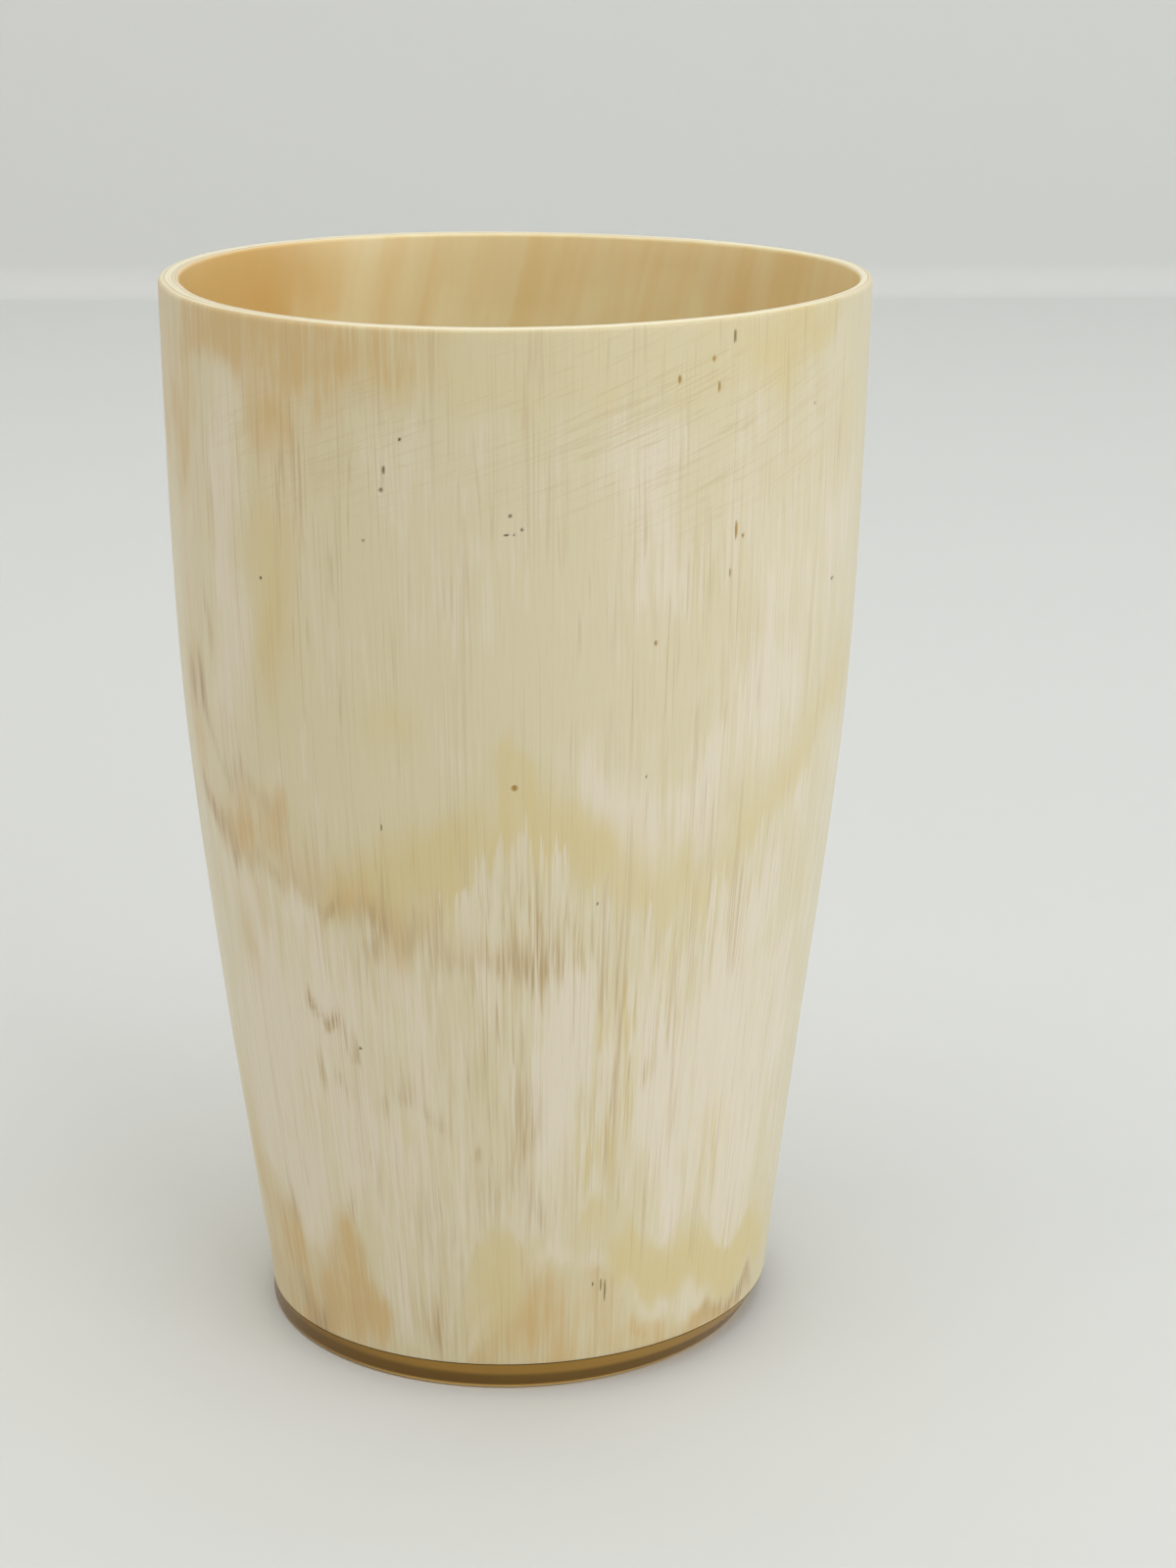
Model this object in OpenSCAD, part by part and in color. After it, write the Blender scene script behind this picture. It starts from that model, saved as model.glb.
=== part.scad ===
// Horn beaker: a turned and polished length of cow horn, open at the top,
// closed by a turned horn disc that is glued into a rebate at its lower end.
// Origin: centre of the flat foot. +Z runs up the beaker's axis. Millimetres.

/* [Beaker] */
// Height from the foot to the rim
beaker_h = 118; // [90:1:140]
// Outer diameter of the rim
rim_d = 76; // [64:1:90]
// How much the radius grows for each millimetre up the lower, tapered part
lower_flare = 0.126; // [0.09:0.002:0.15]
// How much the radius grows for each millimetre up the upper, nearly upright part
upper_flare = 0.009; // [0:0.001:0.03]
// Radius of the lower taper where it leaves the base disc
seam_r = 28.85; // [27:0.05:31]
// How softly the lower taper turns into the upper part
flare_softness = 1.07; // [0.4:0.01:2]

/* [Wall] */
// Wall thickness at the rim
rim_wall = 1.8; // [1.6:0.1:3]
// Wall thickness just above the base disc
foot_wall = 3.8; // [3.6:0.1:4.5]
// Radius of the softened edges of the rim
rim_edge_r = 0.5; // [0.2:0.05:0.7]

/* [Base disc] */
// Height of the part of the disc that shows below the wall
flange_h = 3.3; // [2.5:0.1:5]
// Height of the step on the disc that stands inside the wall
spigot_h = 3; // [2:0.1:6]
// Radius of the disc's rounded lower edge
foot_edge_r = 1.4; // [0.6:0.1:2.4]
// Radius of the small bevel round the upper edge of the step
spigot_bevel = 0.3; // [0.1:0.1:0.5]

/* [Joint] */
// Thickness of the glue between the disc and the wall
glue_t = 0.15; // [0.1:0.01:0.3]
// Wall left outside the rebate, at the seam
rebate_wall = 2.6; // [2.2:0.1:2.7]

/* [Hidden] */
// Facets of a full turn, and stretches along the wall and along a rounded edge
$fn = 144;
WALL_STEPS = 36;
EDGE_STEPS = 6;

rim_r = rim_d / 2;
wall_z = flange_h + glue_t;
spigot_z = flange_h + spigot_h;
shoulder_z = spigot_z + glue_t;
seam_outer_r = outer_r(flange_h);
rebate_r = seam_outer_r - rebate_wall;
spigot_r = rebate_r - glue_t;
glue_outer_r = seam_outer_r - glue_t;
shoulder_r = inner_r(shoulder_z);

// Outer radius at height z: two straight tapers that run into each other
function lower_taper(z) = seam_r + lower_flare * (z - flange_h);
function upper_taper(z) = rim_r + upper_flare * (z - beaker_h);
function taper_blend(a, b) = (a + b) / 2 - sqrt(pow((a - b) / 2, 2) + pow(flare_softness, 2));
function blended_r(z) = taper_blend(lower_taper(z), upper_taper(z));
// The blend falls a little short of the rim's radius, so it is lifted by that much
function outer_r(z) = blended_r(z) + rim_r - blended_r(beaker_h);

// Inner radius at height z: the wall thins steadily from the base to the rim
function wall_share(z) = (z - shoulder_z) / (beaker_h - shoulder_z);
function inner_r(z) = outer_r(z) - foot_wall + (foot_wall - rim_wall) * wall_share(z);

// Points of an arc, as [radius, height], from one angle to another
function arc(centre, r, from, to) = [
    for (i = [0:EDGE_STEPS])
        let (a = from + (to - from) * i / EDGE_STEPS)
        centre + r * [cos(a), sin(a)]
];

// The wall: a length of horn, turned inside and out, rebated at its lower end
module horn_body() {
    edge_z = beaker_h - rim_edge_r;
    outer_side = [
        for (i = [0:WALL_STEPS])
            let (z = wall_z + (edge_z - wall_z) * i / WALL_STEPS)
            [outer_r(z), z]
    ];
    inner_side = [
        for (i = [0:WALL_STEPS])
            let (z = edge_z + (shoulder_z - edge_z) * i / WALL_STEPS)
            [inner_r(z), z]
    ];
    rim_outer = arc([outer_r(edge_z) - rim_edge_r, edge_z], rim_edge_r, 0, 90);
    rim_inner = arc([inner_r(edge_z) + rim_edge_r, edge_z], rim_edge_r, 90, 180);
    rebate = [[rebate_r, shoulder_z], [rebate_r, wall_z]];
    color("#dccb94")
        rotate_extrude()
            polygon(concat(outer_side, rim_outer, rim_inner, inner_side, rebate));
}

// The bottom: a horn disc, stepped so that it stands inside the wall and under it
module base_disc() {
    foot_edge_x = outer_r(foot_edge_r) - foot_edge_r;
    foot_edge = arc([foot_edge_x, foot_edge_r], foot_edge_r, -90, 0);
    color("#7d5f34")
        rotate_extrude()
            polygon(concat(
                [[0, 0]],
                foot_edge,
                [[seam_outer_r, flange_h], [spigot_r, flange_h]],
                [[spigot_r, spigot_z - spigot_bevel], [spigot_r - spigot_bevel, spigot_z]],
                [[0, spigot_z]]
            ));
}

// The glue: a thin film round the step, over it under the shoulder, and over the flange
module glue_seam() {
    color("#3a2614")
        rotate_extrude()
            polygon([
                [spigot_r, flange_h],
                [glue_outer_r, flange_h],
                [glue_outer_r, wall_z],
                [rebate_r, wall_z],
                [rebate_r, shoulder_z],
                [shoulder_r, shoulder_z],
                [shoulder_r, spigot_z],
                [spigot_r - spigot_bevel, spigot_z],
                [spigot_r, spigot_z - spigot_bevel]
            ]);
}

horn_body();
base_disc();
glue_seam();
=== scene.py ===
"""Horn beaker: a turned wall of pale cow horn, a brown horn disc for its bottom, and the glue between."""

import logging
import math
from collections.abc import Callable
from dataclasses import dataclass
from enum import Enum
from functools import partial

import bpy
import numpy as np
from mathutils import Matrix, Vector, noise


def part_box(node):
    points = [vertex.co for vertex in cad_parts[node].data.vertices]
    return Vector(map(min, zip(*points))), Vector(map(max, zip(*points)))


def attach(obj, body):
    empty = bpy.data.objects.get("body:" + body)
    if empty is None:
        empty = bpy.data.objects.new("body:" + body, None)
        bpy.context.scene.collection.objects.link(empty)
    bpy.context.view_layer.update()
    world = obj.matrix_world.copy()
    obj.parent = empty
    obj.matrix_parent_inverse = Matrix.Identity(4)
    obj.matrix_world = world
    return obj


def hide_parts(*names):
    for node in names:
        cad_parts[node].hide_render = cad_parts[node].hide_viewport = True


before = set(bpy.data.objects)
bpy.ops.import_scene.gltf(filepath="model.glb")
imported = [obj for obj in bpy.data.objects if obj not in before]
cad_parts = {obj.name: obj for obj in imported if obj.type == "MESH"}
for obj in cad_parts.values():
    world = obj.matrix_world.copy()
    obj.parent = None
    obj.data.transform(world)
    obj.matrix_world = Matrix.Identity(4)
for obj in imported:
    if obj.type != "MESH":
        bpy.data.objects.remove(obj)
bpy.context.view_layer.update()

MM = 0.001
BODY = "root"
LOG = logging.getLogger("beaker")

MATH = "ShaderNodeMath"
VECTOR = "ShaderNodeVectorMath"
NOISE = "ShaderNodeTexNoise"
MAP_RANGE = "ShaderNodeMapRange"
MIX = "ShaderNodeMix"
COMBINE = "ShaderNodeCombineXYZ"
COORDINATES = "ShaderNodeTexCoord"
BUMP = "ShaderNodeBump"
SHADER = "ShaderNodeBsdfPrincipled"
OUTPUT = "ShaderNodeOutputMaterial"
# A colour Mix node's sockets share their names with its other kinds', so they go by number.
MIX_FACTOR, MIX_A, MIX_B, MIX_OUT = 0, 6, 7, 2
ATTRIBUTE_VALUE = 2
OBJECT_SPACE = 3
# Settings that several nodes share
SOFT = {"interpolation_type": "SMOOTHSTEP"}
TIMES = {"operation": "MULTIPLY"}
TIMES_PLUS = {"operation": "MULTIPLY_ADD"}
WEIGH = {"operation": "DOT_PRODUCT", "out": 1}
PLUS = {"operation": "ADD"}
COLOUR = {"data_type": "RGBA", "out": MIX_OUT}
NUMBER = {"data_type": "FLOAT", "out": 0}
# Where the soft edges of the figure's shapes start and end, as shares of their reach
PATCH_FADE = (0.1, 1.6)
BAND_FADE = 1.3
PIT_FADE = (0.3, 1.15)
# How deep the wall's outside reaches, as a share of its thickness
SKIN = 0.02
# A face that looks straight up has at least this much of its normal upwards
LEVEL = 0.99
WHITE, WARM_WHITE = "#FFFFFF", "#FFF4E0"

AddNode = Callable[..., bpy.types.NodeSocket | None]


def linear(hex_code: str) -> tuple[float, float, float, float]:
    """Turns an sRGB hex colour into linear light.

    Args:
        hex_code: six hex digits, with or without a leading #.

    Returns:
        Linear red, green, blue and an alpha of 1.
    """
    digits = hex_code.lstrip("#")
    channels = [int(digits[i:i + 2], 16) / 255 for i in (0, 2, 4)]
    light = [c / 12.92 if c <= 0.04045 else ((c + 0.055) / 1.055) ** 2.4 for c in channels]
    return (*light, 1.0)


def add(tree: bpy.types.NodeTree, kind: str, inputs: dict | None = None, out: int = 0,
        **settings: object) -> bpy.types.NodeSocket | None:
    """Adds a node with its settings and links.

    Args:
        tree: the material's node tree.
        kind: the node's type.
        inputs: what each input socket gets, a value or another node's output.
        out: which output to hand back.
        settings: the node's own properties.

    Returns:
        The chosen output socket, or nothing from a node without outputs.
    """
    node = tree.nodes.new(kind)
    for name, value in settings.items():
        setattr(node, name, value)
    for socket, source in (inputs or {}).items():
        if isinstance(source, bpy.types.NodeSocket):
            tree.links.new(source, node.inputs[socket])
        else:
            node.inputs[socket].default_value = source
    return node.outputs[out] if node.outputs else None


def empty_material(name: str) -> tuple[bpy.types.Material, AddNode]:
    """Makes a material with no nodes.

    Args:
        name: the material's name.

    Returns:
        The material, and what adds a node to it.
    """
    made = bpy.data.materials.new(name)
    made.use_nodes = True
    made.node_tree.nodes.clear()
    return made, partial(add, made.node_tree)


def lay_over(node: AddNode, ground: object, layers: tuple) -> bpy.types.NodeSocket:
    """Lays colours over a ground, each as strongly as its share says.

    Args:
        node: adds a node to the material.
        ground: the colour at the bottom.
        layers: pairs of a share and a hex colour, from the bottom up.

    Returns:
        The colour on top.
    """
    for share, colour in layers:
        ground = node(MIX, {MIX_FACTOR: share, MIX_A: ground, MIX_B: linear(colour)}, **COLOUR)
    return ground


def smooth(low: float, high: float, x: np.ndarray) -> np.ndarray:
    """A soft step from 0 at low to 1 at high."""
    t = np.clip((x - low) / (high - low), 0.0, 1.0)
    return t * t * (3 - 2 * t)


def turn_from(start: float | np.ndarray, angle: np.ndarray) -> np.ndarray:
    """The turn from one angle to another, in degrees from -180 to 180."""
    return (angle - start + 180) % 360 - 180


class Marking(Enum):
    """What a patch of the horn's figure does to its colour."""

    MILK = "milk"
    HONEY = "honey"
    TAN = "tan"
    STAIN = "stain"
    HAIR = "hair"
    SCUFF = "scuff"


@dataclass(frozen=True)
class Patch:
    """A soft-edged oval of one marking on the wall.

    Angles run from the front (-Y), positive towards +X, in degrees. Heights are in millimetres.
    """

    marking: Marking
    angle: float
    height: float
    half_angle: float
    half_height: float
    strength: float

    @classmethod
    def several(cls, marking: Marking, *sizes: tuple[float, ...]) -> "tuple[Patch, ...]":
        """Patches of one marking, each from its angle, height, half sizes and strength."""
        return tuple(cls(marking, *size) for size in sizes)

    def weight(self, angle: np.ndarray, height: np.ndarray) -> np.ndarray:
        """How strongly the patch marks each point.

        Args:
            angle: the points' angles.
            height: the points' heights.

        Returns:
            From 0 outside to the patch's strength in its middle.
        """
        across = turn_from(self.angle, angle) / self.half_angle
        spread = np.hypot(across, (height - self.height) / self.half_height)
        return self.strength * (1 - smooth(*PATCH_FADE, spread))


@dataclass(frozen=True)
class Band:
    """A soft-edged ribbon of one marking, which follows a line of (angle, height) points."""

    marking: Marking
    line: tuple[tuple[float, float], ...]
    # How far the ribbon reaches below and above its line, in millimetres
    below: float
    above: float
    strength: float
    end_fade: float = 5.0

    def weight(self, angle: np.ndarray, height: np.ndarray) -> np.ndarray:
        """How strongly the ribbon marks each point.

        Args:
            angle: the points' angles.
            height: the points' heights.

        Returns:
            From 0 outside to the ribbon's strength along its line.
        """
        first, last = self.line[0][0], self.line[-1][0]
        along = first + (angle - first + self.end_fade) % 360 - self.end_fade
        off = height - np.interp(along, *zip(*self.line))
        inside = smooth(-BAND_FADE * self.below, 0, off) * (1 - smooth(0, BAND_FADE * self.above, off))
        ends = smooth(first - self.end_fade, first, along) * (1 - smooth(last, last + self.end_fade, along))
        return self.strength * inside * ends


@dataclass(frozen=True)
class Pit:
    """A pore, fleck or short crack in the wall, half_width by half_height millimetres."""

    angle: float
    height: float
    half_width: float
    half_height: float
    # 1 for a dark pore, 0 for a golden fleck
    darkness: float = 1.0

    def offset(self, form: "BeakerForm", angle: np.ndarray,
               height: np.ndarray) -> tuple[np.ndarray, np.ndarray]:
        """How far each point lies from the pit's middle, across and up, in millimetres."""
        across = turn_from(self.angle, angle) * math.radians(1) * float(form.outer(self.height))
        return across, height - self.height

    def depth(self, form: "BeakerForm", angle: np.ndarray, height: np.ndarray) -> np.ndarray:
        """How deep in the pit each point lies, from 0 outside to 1 in the middle."""
        across, up = self.offset(form, angle, height)
        return 1 - smooth(*PIT_FADE, (across / self.half_width) ** 2 + (up / self.half_height) ** 2)


@dataclass(frozen=True)
class GrowthFront:
    """A feathered line round the horn, where one season's growth ends, as heights at chosen angles."""

    knots: tuple[tuple[float, float], ...]

    def height(self, angle: np.ndarray) -> np.ndarray:
        """The line's height at each angle, closed round the back.

        Args:
            angle: angles in degrees from the front.

        Returns:
            Heights in millimetres.
        """
        knots = sorted(self.knots)
        angles = [a - 360 for a, _ in knots] + [a for a, _ in knots] + [a + 360 for a, _ in knots]
        return np.interp(angle, angles, [h for _, h in knots] * 3)


# Top of the white belt
MAIN_FRONT = GrowthFront((
    (-172, 60), (-160, 67), (-148, 58), (-134, 63), (-120, 55), (-106, 62), (-94, 70), (-84, 69),
    (-76, 68), (-70, 66), (-66, 61), (-60, 58), (-52, 57), (-46, 58), (-40, 57), (-35, 56),
    (-30, 53.5), (-27, 55.5), (-22, 52), (-17, 50.5), (-12, 54), (-6, 59), (-2, 65), (3, 67),
    (8, 65), (11, 62.5), (15, 58), (20, 54), (24, 56.5), (29, 53), (35, 54.5), (40, 58),
    (46, 62.5), (53, 64.5), (60, 66), (66, 72), (75, 76), (86, 71), (98, 60), (110, 64),
    (124, 54), (138, 61), (150, 66), (164, 57), (176, 62),
))
# Bottom of the white belt
LOWER_FRONT = GrowthFront((
    (-170, 16), (-158, 10), (-146, 19), (-132, 12), (-118, 22), (-104, 14), (-92, 26), (-80, 36),
    (-72, 33), (-67, 28), (-64, 23), (-59, 20), (-56, 21.5), (-53, 18), (-50, 14), (-46, 14.5),
    (-42, 11), (-39, 14.5), (-36, 18), (-33, 20.5), (-31.5, 14), (-29, 7), (-24, 4.5), (-18, 5),
    (-13, 7), (-9.5, 13), (-7, 18), (-3, 21), (0, 20), (3, 17.5), (6, 20), (9, 17.5),
    (12, 21), (16, 23.5), (20, 24), (24, 21.5), (27, 18.5), (30, 17.5), (33, 16.5), (36, 19),
    (41, 19), (45, 17), (48, 12.5), (52, 10.5), (56, 12.5), (60, 16.5), (66, 20), (76, 14),
    (88, 20), (100, 11), (114, 18), (126, 9), (140, 21), (154, 13), (168, 20),
))
# Warm, clear horn that wells up from the foot
FOOT_DOME = GrowthFront((
    (-176, 4), (-164, 9), (-150, 12), (-138, 6), (-120, 1), (-90, 0), (-14, 0), (-9, 4),
    (-4, 8), (0, 10), (4, 12.5), (8, 15), (13, 15), (18, 15.5), (22, 14), (25, 10.5),
    (28, 7.5), (32, 6.5), (38, 5.5), (45, 4.5), (52, 0), (96, 0), (112, 7), (126, 11),
    (136, 8), (150, 0),
))

M = Marking
BANDS = (
    # Tan veil that hangs from the rim
    Band(M.TAN, ((-84, 102), (-76, 99), (-69, 100), (-63, 104), (-59, 111), (-53, 113.5), (-46, 112.5),
                 (-41, 110), (-35, 106.5), (-29, 109), (-20, 110), (-14, 113), (-8, 115.5)), 4, 60, 0.42),
    Band(M.TAN, ((-63, 114.5), (-48, 115), (-40, 113.5), (-33, 111), (-24, 113), (-14, 115.5)),
         3, 60, 0.40, 4),
    Band(M.HONEY, ((-22, 113), (-6, 112), (8, 111.5), (20, 112.5), (30, 112), (44, 113), (60, 115)),
         4, 60, 0.42),
    # The clear seam over the white belt, with its peak at the front
    Band(M.HONEY, ((-31, 58), (-24, 59), (-16, 60), (-9, 62), (-4, 67), (1, 69), (5, 68),
                   (10, 66), (15, 62), (20, 59.5), (28, 59), (35, 59), (41, 62), (48, 66),
                   (56, 68), (63, 72), (70, 76), (76, 77)), 5, 8, 0.55),
    Band(M.HONEY, ((-3, 66), (-1, 72), (1.5, 77), (4, 72), (6, 66)), 7, 3, 0.45, 2),
    Band(M.HONEY, ((-30, 57), (-22, 57), (-14, 56), (-8, 57)), 4.5, 8, 0.35, 6),
    # Brown edge of the seam, towards the left
    Band(M.STAIN, ((-68, 64.5), (-63, 62.5), (-58, 60.5), (-54, 60)), 3, 3, 0.95, 2),
    Band(M.STAIN, ((-54, 59), (-48, 59.5), (-42, 59), (-37, 57.5), (-32, 56)), 2, 2.4, 0.42, 3),
    Band(M.TAN, ((-70, 66), (-60, 62), (-48, 61), (-36, 59), (-26, 58)), 4, 9, 0.40),
    Band(M.STAIN, ((-31, 56.5), (-25, 54), (-18, 53), (-13, 52.3), (-7, 53), (-1, 53), (4, 52), (9, 52)),
         3, 3.4, 0.40, 3),
    Band(M.TAN, ((-31, 57), (-25, 55), (-18, 54), (-7, 54), (4, 53)), 3, 5, 0.26, 4),
    Band(M.STAIN, ((-62, 74), (-59, 70), (-54, 68.5), (-49, 68), (-44, 67)), 2, 2.2, 0.42, 3),
    Band(M.STAIN, ((-37.5, 45.5), (-34, 44), (-30, 42.6), (-26.5, 41.6)), 1.2, 1.8, 0.85, 1.5),
    Band(M.STAIN, ((-20, 36.5), (-16, 34.5), (-12.5, 32)), 1.6, 2.6, 0.50, 2),
    # Warm horn at the foot, and the pale halo over it
    Band(M.MILK, ((-7, 5), (-2, 10), (3, 13.5), (8, 17), (13, 17.5), (18, 18), (22, 16.5), (25.5, 13),
                  (29, 10), (33, 8.6), (39, 8), (45, 7)), 1.6, 3.2, 0.75, 3),
    Band(M.HONEY, ((25, 15), (32, 13), (40, 13.5), (47, 11), (54, 8.5), (62, 10), (70, 9)), 3.5, 6, 0.75),
    Band(M.TAN, ((-74, 20), (-67, 16), (-60, 14), (-52, 10), (-44, 9), (-36, 13), (-31, 9)), 40, 7, 0.50, 3),
    # The back, in the same manner
    Band(M.HONEY, ((98, 64), (110, 67), (124, 58), (138, 65), (150, 70), (164, 61), (176, 66), (188, 64),
                   (200, 71), (212, 62), (226, 67), (240, 59), (254, 66)), 5, 7.5, 0.75),
    Band(M.TAN, ((84, 104), (96, 110), (112, 113), (130, 109), (146, 114), (170, 112), (200, 108),
                 (222, 112), (248, 106), (270, 103)), 4, 60, 0.25),
    Band(M.TAN, ((232, 98), (244, 92), (256, 90), (262, 94)), 6, 60, 0.50, 24),
    Band(M.STAIN, ((100, 62), (108, 64), (116, 60)), 2.0, 2.4, 0.60, 3),
    Band(M.STAIN, ((196, 68), (204, 66), (212, 60)), 2.0, 2.4, 0.55, 3),
    Band(M.STAIN, ((152, 43), (160, 45), (166, 48)), 1.4, 2.0, 0.60, 2),
    Band(M.MILK, ((112, 9), (126, 14), (138, 11)), 1.6, 3.2, 0.60, 3),
)
PATCHES = (
    # Brown clouds at the left, the tan round them and the clear horn between
    *Patch.several(
        M.STAIN, (-65, 75.5, 5, 3.6, 0.90), (-58, 63.5, 4, 2.6, 0.45), (-59, 84, 1.8, 5, 0.60),
        (-52, 71, 4, 5, 0.28), (-61, 95, 1.8, 5, 0.28), (-39, 85, 4.5, 5, 0.22),
        (-20, 108.5, 6, 2.2, 0.22),
    ),
    *Patch.several(
        M.TAN, (-50, 64.5, 10, 4, 0.35), (-44, 66, 4, 4, 0.30), (-68, 75, 7, 6, 0.45),
        (-68, 86, 7, 8, 0.45), (-67, 104, 6, 10, 0.50), (-55, 51, 3.6, 5, 0.55),
        (-48.5, 51.5, 1.0, 6, 0.60), (-39, 90, 6, 15, 0.26), (-29.5, 102.5, 3.5, 2.8, 0.42),
        (-37, 107, 6, 3.5, 0.35), (-18, 54, 7, 5, 0.42),
    ),
    *Patch.several(
        M.HONEY, (-39, 90, 6, 15, 0.75), (-18, 77.5, 6, 5.5, 0.50), (-9, 63, 11, 6, 0.22),
        (12, 65, 6, 5, 0.25),
    ),
    # Fine brown strokes in the belt
    *Patch.several(
        M.STAIN, (-20, 55.5, 6, 4, 0.42), (-24, 50.5, 1.2, 1.2, 0.50), (6, 53.5, 4.2, 6, 0.45),
        (-1, 53, 3.4, 4, 0.35), (2.5, 33, 2.6, 9, 0.52), (6, 35, 2.4, 5, 0.40), (6, 23, 1.2, 5, 0.55),
        (-36, 36, 0.9, 2.8, 0.70), (-32.3, 36.5, 0.9, 1.8, 0.50), (-24.6, 35.5, 0.9, 2.4, 0.55),
        (-30, 35.5, 7, 2.6, 0.28), (-28, 27.5, 0.8, 1.8, 0.65), (-46, 23.5, 0.8, 2.6, 0.60),
        (-6.3, 28, 0.7, 1.4, 0.85), (-17, 20, 5, 9, 0.28), (-10.5, 18, 1.0, 7, 0.45),
        (-4, 24, 4, 4, 0.42), (-6, 40, 4, 6, 0.22), (-33, 21, 1.4, 3, 0.62), (-31.8, 14, 0.8, 3, 0.50),
        (-54, 20.5, 2.2, 3.4, 0.60), (-56, 17, 4, 3, 0.30), (-17, 8, 9, 5, 0.50),
        (61, 39, 1.2, 3, 0.30),
    ),
    # Clear horn between the strokes
    *Patch.several(
        M.HONEY, (20, 45, 4, 4.5, 0.75), (17, 43, 2.4, 3, 0.60), (23, 39, 1.6, 6, 0.55),
        (20, 30, 6, 6, 0.85), (14, 28, 3, 6, 0.60), (44, 27, 4, 7, 0.55), (31, 45, 3, 6, 0.40),
        (30, 52, 5, 3, 0.55), (62, 52, 4, 5, 0.45), (-40, 33, 8, 4, 0.25), (68, 105, 6, 6, 0.35),
        (52, 116, 10, 3, 0.40),
    ),
    # Amber in the foot. The flat tan patch at 54 degrees, low on the right, is a painted reflection of the
    # dark disc
    *Patch.several(
        M.TAN, (8, 10, 8, 6, 0.70), (0, 5.5, 6, 4, 0.40), (19, 12.5, 4, 3, 0.60), (28.5, 6, 3, 2, 0.80),
        (40, 5, 9, 1.4, 0.70), (-49, 6, 7, 4, 0.80), (-54, 13, 3.4, 8, 0.62), (-66, 27, 6, 10, 0.30),
        (-34.5, 13, 3.2, 8, 0.66), (-34, 7, 6, 5, 0.35), (54, 3.6, 14, 1.6, 0.75),
    ),
    # Painted shade: dark brown along the lowest millimetres of the wall at both sides, just above the seam
    *Patch.several(M.STAIN, (-50, 5.5, 8, 2.4, 1.00), (56, 4.5, 12, 1.8, 1.00)),
    *Patch.several(M.HONEY, (-3, 13, 6, 9, 0.50), (-18, 31, 5, 5, 0.35)),
    # Milky, opaque horn
    *Patch.several(
        M.MILK, (-50, 94, 6, 17, 0.75), (-68, 88, 6, 7, 0.50), (-53, 66, 4, 3, 0.55),
        (-52, 76, 6, 7, 0.30), (34.5, 66, 3.4, 7, 0.90), (22, 67, 8, 6, 0.60), (14, 74, 5, 7, 0.50),
        (48, 82, 10, 14, 0.60), (26, 93, 6, 6, 0.45), (62, 94, 9, 14, 0.45), (20, 104, 9, 6, 0.30),
        (62, 112, 5, 5, 0.35), (44, 38, 17, 12, 0.95), (28.5, 33, 3.6, 9, 0.90), (32, 22, 3.2, 6, 0.95),
        (52.5, 20, 6, 9, 1.10), (9.5, 36, 4.2, 11, 0.80), (12.5, 48, 4.5, 4, 0.60),
        (60, 34, 8, 12, 0.25), (50, 55, 7, 4, 0.45), (-55, 34, 12, 16, 1.00), (-47, 20, 5, 7, 0.45),
        (-38, 46, 14, 8, 0.45), (-34, 28, 12, 10, 0.35), (-44, 55, 8, 2.6, 0.40),
    ),
    # Hairlines stand out here
    *Patch.several(
        M.HAIR, (31, 86, 12, 17, 1.0), (4, 56, 13, 11, 1.3), (22, 38, 9, 16, 0.9),
        (-22, 54, 12, 6, 0.9), (-30, 105, 14, 9, 0.8), (-3, 36, 8, 16, 0.7), (-25, 88, 9, 14, 0.5),
        (-56, 97, 2.4, 13, 0.9), (40, 56, 12, 6, 0.7), (150, 58, 26, 14, 1.0), (-120, 56, 24, 12, 0.9),
        (180, 90, 24, 16, 0.6),
    ),
    # Cross-wise polishing scratches under the rim
    *Patch.several(M.SCUFF, (28, 108, 34, 11, 1.0), (-30, 107, 24, 9, 0.6), (150, 106, 40, 10, 0.7)),
    # The back, in the same manner
    *Patch.several(
        M.TAN, (132, 92, 6, 13, 0.55), (122, 10, 9, 5, 0.85), (-158, 8, 10, 5, 0.85),
        (-104, 12, 9, 6, 0.55),
    ),
    *Patch.several(M.STAIN, (-126, 36, 1.2, 3, 0.65), (118, 26, 1.2, 4, 0.60), (174, 30, 3, 7, 0.42)),
    *Patch.several(M.HONEY, (142, 34, 6, 9, 0.65), (-142, 30, 6, 8, 0.60)),
    *Patch.several(
        M.MILK, (108, 40, 14, 13, 0.80), (164, 36, 10, 14, 0.80), (-112, 42, 14, 12, 0.75),
        (-164, 30, 9, 13, 0.70), (-160, 90, 16, 14, 0.50), (108, 92, 14, 14, 0.50),
    ),
)

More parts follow.
